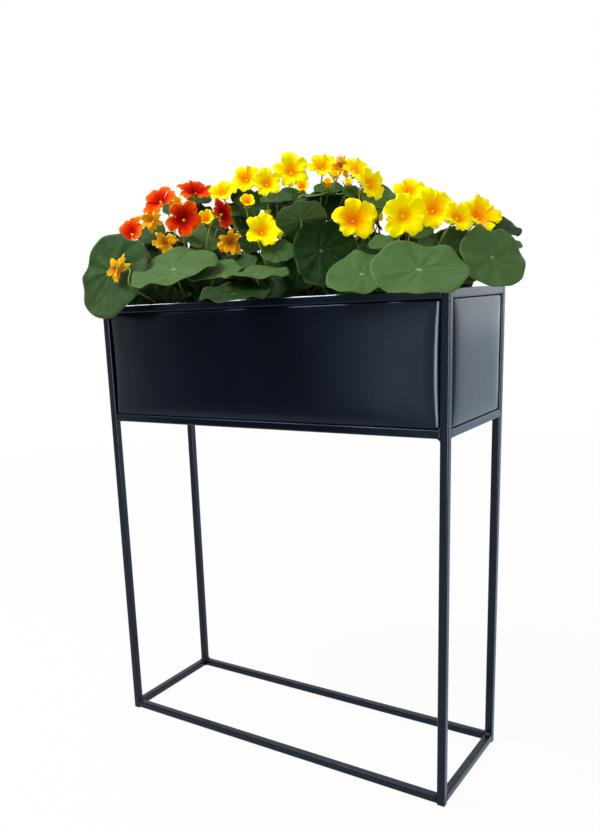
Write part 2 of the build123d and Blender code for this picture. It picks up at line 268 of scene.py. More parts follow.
def soft_lamp(name, place, aim, size, power, colour=(0.94, 0.97, 1.0), gloss_only=False):
    light = bpy.data.lights.new(name, "AREA")
    light.color = colour
    light.shape = "RECTANGLE"
    light.size, light.size_y = size
    light.energy = power
    lamp = put(name, light)
    lamp.location = place
    lamp.rotation_euler = (Vector(aim) - Vector(place)).to_track_quat("-Z", "Y").to_euler()
    lamp.visible_camera = False
    if gloss_only:
        lamp.visible_diffuse = False
        lamp.light_linking.receiver_collection = bpy.data.collections.new("lit_by_" + name)
    return lamp


soft_lamp("top_softbox", place=(-0.9, -0.9, 2.4), aim=(0, 0, 0.75), size=(1.0, 0.9), power=44)
soft_lamp("end_softbox", place=(0.95, 2.7, 0.95), aim=(0.3, 0, 0.65), size=(1.4, 1.6), power=7,
          colour=(0.75, 0.88, 1.0))
edge_strip = soft_lamp("edge_strip", place=(1.35, -1.5, 0.72), aim=(0.3, -0.1, 0.6), size=(0.75, 1.4),
                       power=75, colour=(1.0, 0.93, 0.88), gloss_only=True)
face_glow = soft_lamp("face_glow", place=(-0.33, -1.45, 0.52), aim=(0.25, -0.1, 0.64), size=(0.35, 0.5),
                      power=0.7, gloss_only=True)
rim_strip = soft_lamp("rim_strip", place=(-0.78, -0.24, 1.7), aim=(0, -0.11, 0.73), size=(1.4, 2.2),
                      power=440, gloss_only=True)
print("lamps:", [light.name for light in bpy.data.lights])

# %% [markdown]
# ## Effects that several finishes share
# Grain, dust with a painted sheen, and rubbed edges turn up on paint, plastic and soil alike, and
# fine rays run out from the middle of leaves and petals. Each is a node group, built once and placed
# with its own values.
# A group gives masks and heights only. The shader that uses them stays in its own material.

# %% Grain, dust with painted sheen, and rubbed edges
grain_group, ins, end = new_group(
    "grain", {"Scale": 900.0, "Ripple Scale": 30.0, "Ripple": 0.5}, ("Height", "Shade"))
fine = speckle(grain_group, ins["Scale"], 3.0)
broad = speckle(grain_group, ins["Ripple Scale"], 1.0)
height = add(grain_group, "Mix", {0: ins["Ripple"], 2: fine, 3: broad}, data_type="FLOAT").outputs[0]
feed(end, {"Height": height, "Shade": times(grain_group, fine, broad)})

# Upward faces get a patchy pale mask: settled dust, and a painted sheen where they face the bright room
dust_and_sheen_group, ins, end = new_group("settled_dust_and_sheen", {"Scale": 60.0, "Amount": 0.3}, ("Mask",))
up = add(dust_and_sheen_group, "SeparateXYZ", {0: add(dust_and_sheen_group, "NewGeometry").outputs["Normal"]}).outputs[2]
patchy = remap(dust_and_sheen_group, speckle(dust_and_sheen_group, ins["Scale"], 5.0), 0.35, 0.75)
lying = times(dust_and_sheen_group, remap(dust_and_sheen_group, up, 0.35, 1.0), patchy)
feed(end, {"Mask": times(dust_and_sheen_group, lying, ins["Amount"])})

edge_group, ins, end = new_group("rubbed_edge", {"Radius": 0.001, "Amount": 0.5}, ("Mask",))
rounded = add(edge_group, "Bevel", {"Radius": ins["Radius"]}, samples=4).outputs[0]
flat = add(edge_group, "NewGeometry").outputs["Normal"]
agree = add(edge_group, "VectorMath", {0: rounded, 1: flat}, operation="DOT_PRODUCT").outputs["Value"]
scuffs = remap(edge_group, speckle(edge_group, 240.0, 4.0), 0.4, 0.65)
bare = times(edge_group, remap(edge_group, agree, 0.97, 0.8), scuffs)
feed(end, {"Mask": times(edge_group, bare, ins["Amount"])})
print("groups:", [g.name for g in bpy.data.node_groups])

# %% Rays
ray_group, ins, end = new_group(
    "rays", {"Place": (0.0, 0.0, 0.0), "Count": 9.0, "Width": 0.03, "Start": 0.0}, ("Mask", "Out"))
wobble = add(ray_group, "TexNoise", {"Vector": ins["Place"], "Scale": 3.0, "Detail": 2.0}).outputs[1]
shifted = add(ray_group, "VectorMath", {0: wobble, 1: (0.5, 0.5, 0.5)}, operation="SUBTRACT").outputs[0]
swing = {0: shifted, 1: (0.10, 0.10, 0.0), 2: ins["Place"]}
bent = add(ray_group, "VectorMath", swing, operation="MULTIPLY_ADD")
x, y, z = add(ray_group, "SeparateXYZ", {0: bent.outputs[0]}).outputs
turn = calc(ray_group, "DIVIDE", calc(ray_group, "ARCTAN2", y, x), math.tau)
away = calc(ray_group, "SQRT", calc(ray_group, "ADD", times(ray_group, x, x), times(ray_group, y, y)))
step = calc(ray_group, "FRACT", times(ray_group, turn, ins["Count"]))
aside = calc(ray_group, "ABSOLUTE", calc(ray_group, "SUBTRACT", step, 0.5))
arc = calc(ray_group, "DIVIDE", times(ray_group, times(ray_group, aside, away), math.tau), ins["Count"])
line = calc(ray_group, "SUBTRACT", 1.0, remap(ray_group, arc, 0.0, ins["Width"]))
begun = remap(ray_group, away, ins["Start"], calc(ray_group, "ADD", ins["Start"], 0.12))
feed(end, {"Mask": times(ray_group, line, begun), "Out": away})
print("rays have", len(ray_group.nodes), "nodes")

# %% [markdown]
# ## Paint and plastic
# The stand is powder coated in a blue-black satin. Powder melts into a skin with a fine orange-peel
# grain and slow ripples, which is why reflected edges look wavy. Upward faces carry a thin pale
# blue-grey film: dust, and a painted sheen of the bright room above. The coat is a little rubbed
# along edges. The plugs and the liner are moulded in black plastic.

# %% Finishes of the stand and the liner
SOFT_EDGE = 2 * MM
RUB_EDGE = 1.2 * MM
# A pale blue-grey for upward faces: dust, and a painted sheen
DUST_AND_SHEEN = rgb(118, 132, 152)
SHINE_TINT = (0.60, 0.79, 1.0, 1)


def hard_finish(name, colour, rub_colour, rough, specular, grain_scale, ripple, relief, dust, rub):
    material, tree, shader = new_finish(name)
    grain = use_group(tree, grain_group, {"Scale": grain_scale, "Ripple Scale": 22.0, "Ripple": ripple})
    # The dust amount also sets how much painted sheen the upward faces get
    dust_and_sheen_mask = use_group(tree, dust_and_sheen_group, {"Scale": 45.0, "Amount": dust})["Mask"]
    worn = use_group(tree, edge_group, {"Radius": RUB_EDGE, "Amount": rub})["Mask"]
    deep = [0.8 * c for c in colour[:3]] + [1]
    tone = mingle(tree, remap(tree, grain["Shade"], 0.15, 0.4), deep, colour)
    tone = mingle(tree, worn, tone, rub_colour)
    gloss = remap(tree, grain["Shade"], 0.1, 0.45, rough + 0.02, rough - 0.02)
    soft = add(tree, "Bevel", {"Radius": SOFT_EDGE}, samples=6).outputs[0]
    feed(shader, {
        "Base Color": mingle(tree, dust_and_sheen_mask, tone, DUST_AND_SHEEN),
        "Roughness": calc(tree, "ADD", gloss, times(tree, dust_and_sheen_mask, 0.5), clamp=True),
        "Specular IOR Level": specular,
        "Specular Tint": SHINE_TINT,
        "Normal": bump(tree, grain["Height"], relief, Normal=soft),
    })
    return material


powder_coat = hard_finish(
    "powder_coat", (0.0032, 0.0052, 0.0115, 1), rgb(40, 46, 56), rough=0.22, specular=0.28,
    grain_scale=700.0, ripple=0.8, relief=0.2 * MM, dust=0.04, rub=0.3)
plug_plastic = hard_finish(
    "plug_plastic", rgb(22, 23, 25), rgb(70, 70, 72), rough=0.5, specular=0.4,
    grain_scale=1500.0, ripple=0.2, relief=0.2 * MM, dust=0.05, rub=0.2)
liner_plastic = hard_finish(
    "liner_plastic", rgb(20, 21, 22), rgb(60, 60, 62), rough=0.55, specular=0.3,
    grain_scale=500.0, ripple=0.4, relief=0.4 * MM, dust=0.2, rub=0.15)
print("finishes:", powder_coat.name, plug_plastic.name, liner_plastic.name)


# %% Dress the stand and the liner
def shine(piece, *lamps):
    for lamp in lamps:
        lamp.light_linking.receiver_collection.objects.link(piece)


def dress(node, finish):
    piece = frame["nodes"][node]
    for slot in piece.material_slots:
        slot.material = finish
    if not node.startswith("base"):
        shine(piece, edge_strip)
    if node.startswith("top_rail"):
        shine(piece, rim_strip)


for node in STAND:
    dress(node, plug_plastic if node == "foot_plugs" else powder_coat)
dress("liner", liner_plastic)
print("painted", len(STAND), "stand nodes")

# %% [markdown]
# ## The pressed panels
# Each wall of the trough is a sheet with its four edges folded in. Folding leaves a soft round bend
# and lets the face swell a little, which bows the reflections. A flat face would look like glass, so
# the face is a grid with a slight crown, rolled over the bend and given its thickness by Solidify. The
# bends at the sides are wider half way up, which curves the bright line along them.

# %% Panel edges and new pieces
SHEET = 1.0 * MM
CORNER_STEPS = 3


def place_piece(name, mesh, finishes, nodes=(), body="planting"):
    for finish in finishes:
        mesh.materials.append(finish)
    piece = put(name, mesh)
    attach(piece, body)
    if nodes:
        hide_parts(*nodes)
    return piece


def thicken(piece, thickness, under=0):
    sheet = piece.modifiers.new("thickness", "SOLIDIFY")
    sheet.thickness = thickness
    sheet.offset = -1
    sheet.material_offset = under


def edge_walk(columns, rows):
    # The rim of a grid, once round, with the way out at each step
    walk = []
    sides = [
        ([(i, 0) for i in range(columns)], -90),
        ([(columns - 1, j) for j in range(rows)], 0),
        ([(i, rows - 1) for i in reversed(range(columns))], 90),
        ([(0, j) for j in reversed(range(rows))], 180),
    ]
    for cells, angle in sides:
        walk += [(cell, angle) for cell in cells[:-1]]
        walk += [(cells[-1], angle + 90 * k / CORNER_STEPS) for k in range(CORNER_STEPS)]
    return walk


print("a grid of 4 x 3 has", len(edge_walk(4, 3)), "steps round its rim")

# %% Panels
SIDE_ROLL = 7.5 * MM
SIDE_BULGE = 0.75
TOP_ROLL = 3.5 * MM
CROWN = 2.2 * MM
ROLL_STEPS = 6
COLUMN_WIDTH = 12 * MM
LEAST_COLUMNS = 12
PANEL_ROWS = 15
PANEL_SIDES = {"front": (1, 0, 0, -1), "back": (-1, 0, 0, 1), "left": (0, -1, -1, 0), "right": (0, 1, 1, 0)}


def pressed_panel(side):
    node = side + "_panel"
    across = Vector((*PANEL_SIDES[side][:2], 0))
    outward = Vector((*PANEL_SIDES[side][2:], 0))
    low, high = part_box(node)
    span = high - low
    width = abs(span.dot(across))
    height = span.z
    depth = abs(span.dot(outward))
    face = (low + high) / 2 + outward * depth / 2
    rows = PANEL_ROWS
    columns = max(LEAST_COLUMNS, round(width / COLUMN_WIDTH))

    def side_roll(b):
        return SIDE_ROLL * (1 + SIDE_BULGE * (1 - (2 * b / height) ** 2))

    def grid_spot(i, j):
        b = (height / 2 - TOP_ROLL) * (2 * j / (rows - 1) - 1)
        return (width / 2 - side_roll(b)) * (2 * i / (columns - 1) - 1), b

    def at(a, b, out):
        swell = CROWN * (1 - (2 * a / width) ** 8) * (1 - (2 * b / height) ** 4)
        return face + across * a + Vector((0, 0, b)) + outward * (swell - out)

    points = [at(*grid_spot(i, j), 0) for i in range(columns) for j in range(rows)]
    faces = []
    for i in range(columns - 1):
        for j in range(rows - 1):
            corner = i * rows + j
            faces.append((corner, corner + rows, corner + rows + 1, corner + 1))
    walk = edge_walk(columns, rows)
    loop = [i * rows + j for (i, j), angle in walk]
    bends = np.linspace(0, math.pi / 2, ROLL_STEPS + 1)[1:]
    for step, bend in enumerate([*bends, math.pi / 2]):
        fresh = []
        for (i, j), angle in walk:
            sideways = math.cos(math.radians(angle))
            upward = math.sin(math.radians(angle))
            a, b = grid_spot(i, j)
            roll = side_roll(b)
            a += roll * math.sin(bend) * sideways
            b += TOP_ROLL * math.sin(bend) * upward
            drop = (roll * sideways ** 2 + TOP_ROLL * upward ** 2) * (1 - math.cos(bend))
            fresh.append(len(points))
            points.append(at(a, b, depth - SHEET if step == ROLL_STEPS else drop))
        for k in range(len(walk)):
            n = (k + 1) % len(walk)
            ring = [loop[k], fresh[k], fresh[n], loop[n]]
            faces.append([v for m, v in enumerate(ring) if v != ring[m - 1]])
        loop = fresh
    mesh = bpy.data.meshes.new(node + "_pressed")
    mesh.from_pydata(points, [], faces)
    mesh.shade_smooth()
    panel = place_piece(node + "_pressed", mesh, [powder_coat], [node], "frame")
    thicken(panel, SHEET)
    shine(panel, edge_strip, face_glow)
    return panel


panels = [pressed_panel(side) for side in PANEL_SIDES]
print("panels", [len(p.data.polygons) for p in panels])

# %% [markdown]
# ## Reading the planting from the frame
# The frame holds one plain solid for each leaf, flower and stalk. A leaf's or a flower's solid is
# round, so its middle axis is the direction in which its spread differs most from the other two, and
# its wide end is the open one. A stalk's solid has five corners at each bend. Reading these gives
# every place for the real forms, and nothing is measured twice.

# %% Solids of a node
SAME_POINT = 0.01 * MM


def solids_of(node):
    # The separate solids of a node: corner points, and which corners share an edge
    copy = bmesh.new()
    copy.from_mesh(frame["nodes"][node].data)
    bmesh.ops.remove_doubles(copy, verts=copy.verts, dist=SAME_POINT)
    copy.verts.ensure_lookup_table()
    copy.verts.index_update()
    found = []
    seen = set()
    for first in copy.verts:
        if first.index in seen:
            continue
        seen.add(first.index)
        group = [first]
        for vert in group:
            for edge in vert.link_edges:
                other = edge.other_vert(vert)
                if other.index not in seen:
                    seen.add(other.index)
                    group.append(other)
        place = {vert.index: k for k, vert in enumerate(group)}
        links = [[place[e.other_vert(vert).index] for e in vert.link_edges] for vert in group]
        found.append((np.array([vert.co[:] for vert in group]), links))
    copy.free()
    return found


print("left leaves:", len(solids_of("left_plant_leaves")), "solids")

# %% Heads and bends
END_SLICE = 0.4 * MM
SECTION_SIZE = 7 * MM
UPRIGHT = 0.05


class Head:
    # A leaf or flower: where its stalk ends, the way it faces, its depth and its radius
    def __init__(self, base, axis, depth, radius):
        self.base = Vector(base)
        self.axis = Vector(axis).normalized()
        self.depth = depth
        self.radius = radius
        fall = Vector((0, 0, -1)) - self.axis * -self.axis.z
        self.down = fall.normalized() if fall.length > UPRIGHT else Vector((1, 0, 0))
        self.aside = self.axis.cross(self.down)

    def at(self, turn, reach, rise):
        outward = self.down * math.cos(turn) + self.aside * math.sin(turn)
        return self.base + self.axis * rise + outward * reach


def head_of(corners):
    middle = corners.mean(0)
    spread, ways = np.linalg.eigh(np.cov((corners - middle).T))
    axis = ways[:, 0 if spread[1] - spread[0] > spread[2] - spread[1] else 2]
    rise = (corners - middle) @ axis
    aside = np.linalg.norm(corners - middle - np.outer(rise, axis), axis=1)
    near = rise < rise.min() + END_SLICE
    far = rise > rise.max() - END_SLICE
    if aside[near].max() > aside[far].max():
        axis = -axis
        near = far
    return Head(corners[near].mean(0), axis, float(np.ptp(rise)), float(aside.max()))


def bends_of(corners, links):
    # The middle of each five-cornered section of a stalk, from the soil to the tip
    sections = []
    owner = {}
    for k, corner in enumerate(corners):
        home = next((s for s in sections if np.linalg.norm(corners[s[0]] - corner) < SECTION_SIZE), None)
        if home is None:
            home = []
            sections.append(home)
        home.append(k)
        owner[k] = home
    middles = [corners[s].mean(0) for s in sections]
    order = [min(range(len(sections)), key=lambda s: middles[s][2])]
    while True:
        here = sections[order[-1]]
        beside = {sections.index(owner[n]) for k in here for n in links[k]} - set(order)
        if not beside:
            return [Vector(middles[s]) for s in order]
        order.append(min(beside, key=lambda s: np.linalg.norm(middles[s] - middles[order[-1]])))


def heads_in(node):
    return [head_of(corners) for corners, links in solids_of(node)]


def stalks_in(node):
    return [bends_of(*solid) for solid in solids_of(node)]


PLANTS = ("left", "middle", "right")
leaves = {p: heads_in(p + "_plant_leaves") for p in PLANTS}
flowers = {p: heads_in(p + "_plant_flowers") for p in PLANTS}
withered = heads_in("left_plant_withered_flowers")
leaf_stalks = {p: stalks_in(p + "_plant_leaf_stalks") for p in PLANTS}
flower_stalks = {p: stalks_in(p + "_plant_flower_stalks") for p in PLANTS}
withered_stalks = stalks_in("left_plant_withered_stalks")
for p in PLANTS:
    print(p, "leaf radii", [round(h.radius / MM) for h in leaves[p]],
          "flower radii", [round(h.radius / MM) for h in flowers[p]],
          "bends", [len(b) for b in leaf_stalks[p] + flower_stalks[p]])
print("withered", [round(h.depth / MM) for h in withered], [len(b) for b in withered_stalks])

# %% [markdown]
# ## Soil with bark
# The liner is filled with dark potting soil that lies below its rim. A voxel remesh of the frame's
# plain block gives an even net of points, and noise lifts those on top into crumbs. Chips of bark
# are scattered over it, each a small bent plate, because bought soil is never a clean powder. Blender's
# vector noise starts from the clock unless it has a seed, so it gets one first: every run is the same.

# %% Soil
NOISE_SEED = 5
SOIL_VOXEL = 4 * MM
CRUMB = 5 * MM
CRUMB_WAVES = ((0.5, 0, 22), (0.35, 3, 90), (0.2, 7, 260))
noise.seed_set(NOISE_SEED)

soil_finish, tree, shader = new_finish("soil")
grain = use_group(tree, grain_group, {"Scale": 420.0, "Ripple Scale": 55.0, "Ripple": 0.35})
tone = mingle(tree, remap(tree, grain["Shade"], 0.12, 0.42), rgb(20, 15, 11), rgb(62, 46, 33))
feed(shader, {"Base Color": tone, "Roughness": 0.95, "Specular IOR Level": 0.2,
              "Normal": bump(tree, grain["Height"], 4 * MM)})


def settled(scratch):
    # The mesh of a scratch object with its modifiers worked in
    bpy.context.view_layer.update()
    mesh = bpy.data.meshes.new_from_object(scratch.evaluated_get(bpy.context.evaluated_depsgraph_get()))
    bpy.data.objects.remove(scratch)
    mesh.shade_smooth()
    mesh.materials.clear()
    return mesh


def crumb_height(x, y):
    waves = (share * noise.noise(Vector((x, y, layer)) * scale) for share, layer, scale in CRUMB_WAVES)
    return CRUMB * sum(waves)


block = put("soil_block", frame["nodes"]["soil"].data.copy())
block.modifiers.new("weld", "WELD").merge_threshold = SAME_POINT
net = block.modifiers.new("net", "REMESH")
net.mode = "VOXEL"
net.voxel_size = SOIL_VOXEL
soil_mesh = settled(block)
soil_low, soil_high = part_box("soil")
for vert in soil_mesh.vertices:
    if vert.co.z > soil_high.z - SOIL_VOXEL:
        vert.co.z = soil_high.z + crumb_height(vert.co.x, vert.co.y)
place_piece("soil_crumbs", soil_mesh, [soil_finish], ["soil"])
print("soil", len(soil_mesh.polygons), "faces")

# %% Bark
BARK_COUNT = 90
BARK_MARGIN = (30 * MM, 20 * MM)
BARK_RAGGED = 0.9 * MM
BARK_LIFT = 0.8 * MM

bark_finish, tree, shader = new_finish("bark")
grain = use_group(tree, grain_group, {"Scale": 260.0, "Ripple Scale": 900.0, "Ripple": 0.3})
tone = mingle(tree, remap(tree, grain["Shade"], 0.1, 0.4), rgb(48, 32, 21), rgb(112, 78, 50))
feed(shader, {"Base Color": tone, "Roughness": 0.85, "Normal": bump(tree, grain["Height"], 2 * MM)})

dice = random.Random(11)
chips = bmesh.new()
for k in range(BARK_COUNT):
    x = dice.uniform(soil_low.x + BARK_MARGIN[0], soil_high.x - BARK_MARGIN[0])
    y = dice.uniform(soil_low.y + BARK_MARGIN[1], soil_high.y - BARK_MARGIN[1])
    size = Vector((dice.uniform(5, 13), dice.uniform(3, 7), dice.uniform(1.2, 2.6))) * MM
    made = bmesh.ops.create_grid(chips, x_segments=3, y_segments=2, size=0.5)["verts"]
    plate = list(dict.fromkeys(f for v in made for f in v.link_faces))
    lift = bmesh.ops.extrude_face_region(chips, geom=plate)["geom"]
    for v in lift:
        if isinstance(v, bmesh.types.BMVert):
            v.co.z += 1
            made.append(v)
    tilt = Matrix.Rotation(dice.uniform(0, math.tau), 3, "Z")
    tilt = tilt @ Matrix.Rotation(dice.uniform(-0.4, 0.4), 3, "X")
    for v in made:
        ragged = Vector(v.co) * size.length * 40
        v.co = Vector((v.co.x * size.x, v.co.y * size.y, (v.co.z - 0.5) * size.z))
        v.co += Vector(noise.noise_vector(ragged + Vector((k, 0, 0)))) * BARK_RAGGED
        v.co = tilt @ v.co + Vector((x, y, soil_high.z + crumb_height(x, y) + BARK_LIFT))
bmesh.ops.recalc_face_normals(chips, faces=chips.faces)
# The extrusion makes its side faces in no fixed order, so they are put in one
for k, face in enumerate(sorted(chips.faces, key=lambda f: f.calc_center_median()[:])):
    face.index = k
chips.faces.sort()
bark_mesh = bpy.data.meshes.new("soil_bark")
chips.to_mesh(bark_mesh)
chips.free()
place_piece("soil_bark", bark_mesh, [bark_finish])
print(BARK_COUNT, "chips of bark")

# %% [markdown]
# ## Finishes of the plants
# The plants are nasturtiums. A leaf is a round shield on a stalk at its middle, dull green, with
# paler veins that run out from a pale spot, and a lighter underside. Petals shade from a warm throat
# to a clear edge, with fine dark lines near the middle. They are so thin that daylight comes through
# them, which a weak glow of their own colour stands in for. Each point of a leaf or petal carries its
# own place on it as an attribute, so that the veins and shades follow the form and not the world.

# %% Leaf finish
HUB = rgb(176, 184, 132)


def leaf_finish(name, dark, light, vein, rim, rough, vein_relief):
    material, tree, shader = new_finish(name)
    place = add(tree, "Attribute", attribute_name="place").outputs["Vector"]
    own = add(tree, "SeparateXYZ", {0: place}).outputs[2]
    main = use_group(tree, ray_group, {"Place": place, "Count": 9.0, "Width": 0.028, "Start": 0.0})
    forks = use_group(tree, ray_group, {"Place": place, "Count": 27.0, "Width": 0.012, "Start": 0.42})
    grain = use_group(tree, grain_group, {"Scale": 1400.0, "Ripple Scale": 75.0, "Ripple": 0.7})
    mottle = times(tree, calc(tree, "SUBTRACT", grain["Height"], 0.5), 0.5)
    # own sets the tone between dark and light; its low values, given to leaves under others, hanging leaves
    # and the larger undergrowth, are painted shade
    tone = mingle(tree, calc(tree, "ADD", own, mottle, clamp=True), dark, light)
    lines = calc(tree, "MAXIMUM", main["Mask"], times(tree, forks["Mask"], 0.6))
    tone = mingle(tree, times(tree, lines, 0.05), tone, vein)
    tone = mingle(tree, times(tree, remap(tree, main["Out"], 0.955, 1.0), 0.25), tone, rim)
    hub = times(tree, remap(tree, main["Out"], 0.07, 0.02), remap(tree, own, 0.0, 1.0, 0.3, 0.7))
    relief = calc(tree, "ADD", times(tree, grain["Height"], 0.35), times(tree, lines, vein_relief))
    feed(shader, {
        "Base Color": mingle(tree, hub, tone, HUB),
        "Roughness": remap(tree, grain["Shade"], 0.1, 0.45, rough + 0.07, rough - 0.06),
        "Specular IOR Level": 0.07,
        "Normal": bump(tree, relief, 1.2 * MM),
    })
    return material


leaf_top = leaf_finish("leaf_top", dark=rgb(18, 46, 8), light=rgb(86, 118, 64), vein=rgb(138, 164, 106),
                       rim=rgb(128, 146, 78), rough=0.5, vein_relief=0.25)
leaf_under = leaf_finish("leaf_underside", dark=rgb(40, 66, 28), light=rgb(100, 128, 72),
                         vein=rgb(160, 176, 120), rim=rgb(140, 156, 84), rough=0.6, vein_relief=0.9)
LEAF_FINISHES = [leaf_top, leaf_under]
print("leaf finishes:", leaf_top.name, leaf_under.name)

# %% Petal and stalk finishes
DAYLIGHT = 0.18
STREAKS = 14.0
# Between these heights, in metres, stalks and sepals are painted darker downwards, as painted shade under the
# leaves
SHADE_FOOT = 0.70
SHADE_TOP = 0.86


def petal_finish(name, throat, blade, edge, streak, streak_end=0.36):
    material, tree, shader = new_finish(name)
    place = add(tree, "Attribute", attribute_name="place").outputs["Vector"]
    along, across, own = add(tree, "SeparateXYZ", {0: place}).outputs
    grain = use_group(tree, grain_group, {"Scale": 900.0, "Ripple Scale": 160.0, "Ripple": 0.6})
    mottle = times(tree, calc(tree, "SUBTRACT", grain["Height"], 0.5), 0.5)
    ragged = calc(tree, "ADD", along, mottle)
    warm = mingle(tree, times(tree, own, 0.45), throat, blade)
    tone = mingle(tree, remap(tree, ragged, 0.05, remap(tree, own, 0.0, 1.0, 0.95, 0.50)), warm, blade)
    sides = remap(tree, calc(tree, "ABSOLUTE", across), 0.80, 1.0)
    flank = times(tree, sides, remap(tree, along, 0.55, 0.9))
    margin = calc(tree, "MAXIMUM", flank, remap(tree, along, 0.88, 0.99))
    flush = times(tree, remap(tree, ragged, 0.35, 1.15), remap(tree, own, 0.0, 1.0, 0.12, 0.55))
    tone = mingle(tree, flush, tone, edge)
    tone = mingle(tree, times(tree, margin, remap(tree, grain["Height"], 0.35, 0.6)), tone, edge)
    comb = calc(tree, "SINE", times(tree, across, STREAKS))
    lines = times(tree, remap(tree, comb, 0.6, 1.0), remap(tree, ragged, streak_end, 0.10))
    tone = mingle(tree, lines, tone, streak)
    relief = calc(tree, "ADD", times(tree, comb, 0.12), grain["Height"])
    feed(shader, {"Base Color": tone, "Emission Color": tone, "Emission Strength": DAYLIGHT, "Roughness": 0.6,
                  "Specular IOR Level": 0.02, "Normal": bump(tree, relief, 0.4 * MM)})
    return material


def stalk_finish(name, low_tone, high_tone, blush):
    material, tree, shader = new_finish(name)
    height = add(tree, "SeparateXYZ", {0: add(tree, "TexCoord").outputs["Object"]}).outputs[2]
    grain = use_group(tree, grain_group, {"Scale": 800.0, "Ripple Scale": 60.0, "Ripple": 0.6})
    # Darker towards the soil: painted shade under the leaves
    tone = mingle(tree, remap(tree, height, SHADE_FOOT, SHADE_TOP), low_tone, high_tone)
    tone = mingle(tree, remap(tree, grain["Height"], 0.52, 0.68), tone, blush)
    feed(shader, {"Base Color": tone, "Roughness": 0.5, "Specular IOR Level": 0.3,
                  "Normal": bump(tree, grain["Height"], 0.6 * MM)})
    return material


red_petal = petal_finish(
    "red_petal", throat=rgb(120, 4, 0), blade=rgb(204, 22, 0), edge=rgb(252, 150, 0),
    streak=rgb(80, 3, 4))
yellow_petal = petal_finish(
    "yellow_petal", throat=rgb(248, 140, 0), blade=rgb(255, 232, 0), edge=rgb(255, 244, 10),
    streak=rgb(216, 92, 4))
withered_petal = petal_finish(
    "withered_petal", throat=rgb(172, 78, 16), blade=rgb(252, 180, 14), edge=rgb(255, 214, 20),
    streak=rgb(118, 36, 30), streak_end=1.6)
sepal_finish = stalk_finish("sepal", rgb(150, 158, 40), rgb(196, 190, 50), rgb(160, 140, 40))
leaf_stalk_finish = stalk_finish("leaf_stalk", rgb(96, 112, 48), rgb(150, 160, 84), rgb(136, 118, 66))
flower_stalk_finish = stalk_finish("flower_stalk", rgb(78, 102, 44), rgb(146, 164, 60), rgb(142, 110, 56))
print("petal finishes:", red_petal.name, yellow_petal.name, withered_petal.name)

# %% [markdown]
# ## Leaves
# A shield leaf could be a disc with a bent modifier, but real ones have a wavy outline, a shallow cup
# and a rim that rises and falls. A polar grid gives all three by formula: rows run out from the hub,
# columns go round it. A leaf that hangs steeply is longer than wide, has deeper folds and is painted
# darker, and one that lies under another is painted darker still: both are painted shade. Solidify
# turns the sheet into a thin blade, with its own finish below.

# %% Thin sheets
class Sheets:
    # Thin sheets gathered into one mesh, each point with its place on its own leaf or petal
    def __init__(self):
        self.points = []
        self.places = []
        self.faces = []
        self.kinds = []

    def grid(self, rows, kind=0, closed=False):
        start = len(self.points)
        wide = len(rows[0])
        for row in rows:
            for point, place in row:
                self.points.append(point)
                self.places.append(place)
        steps = wide if closed else wide - 1
        for i in range(len(rows) - 1):
            for j in range(steps):
                n = (j + 1) % wide
                a = start + i * wide
                self.faces.append((a + j, a + wide + j, a + wide + n, a + n))
                self.kinds.append(kind)
        if closed:
            self.faces.append(tuple(range(start, start + wide)))
            self.kinds.append(kind)

    def piece(self, name, finishes, thickness, slot, nodes=(), under=0):
        mesh = bpy.data.meshes.new(name)
        mesh.from_pydata(self.points, [], self.faces)
        place = mesh.attributes.new("place", "FLOAT_VECTOR", "POINT")
        place.data.foreach_set("vector", np.ravel(self.places))
        mesh.polygons.foreach_set("material_index", self.kinds)
        mesh.shade_smooth()
        made = place_piece(name, mesh, finishes, nodes)
        thicken(made, thickness, under)
        return made


print("sheets ready")

# %% Leaf blades
LARGE_NET = (13, 64)
YOUNG_NET = (8, 36)
LARGE_BLADE = 0.55 * MM
LOBE_DEPTH = 0.035
OVAL = 0.03
NOTCH = 0.13
PLEAT = 0.045
HANGING_PLEAT = 0.08
HANGING = 0.45
HANGING_FORM = (1.22, 1.10)
HANGING_LOBE = 0.22
HANGING_SIDE = math.radians(50)
HUB_GAP = 0.8 * MM
# Tone ranges: the shaded and the hanging ones are painted shade, the open one is the leaf's own green
SHADED_TONE = (0.0, 0.12)
HANGING_SHADE_TONE = (0.2, 0.35)
OPEN_TONE = (0.6, 1.0)


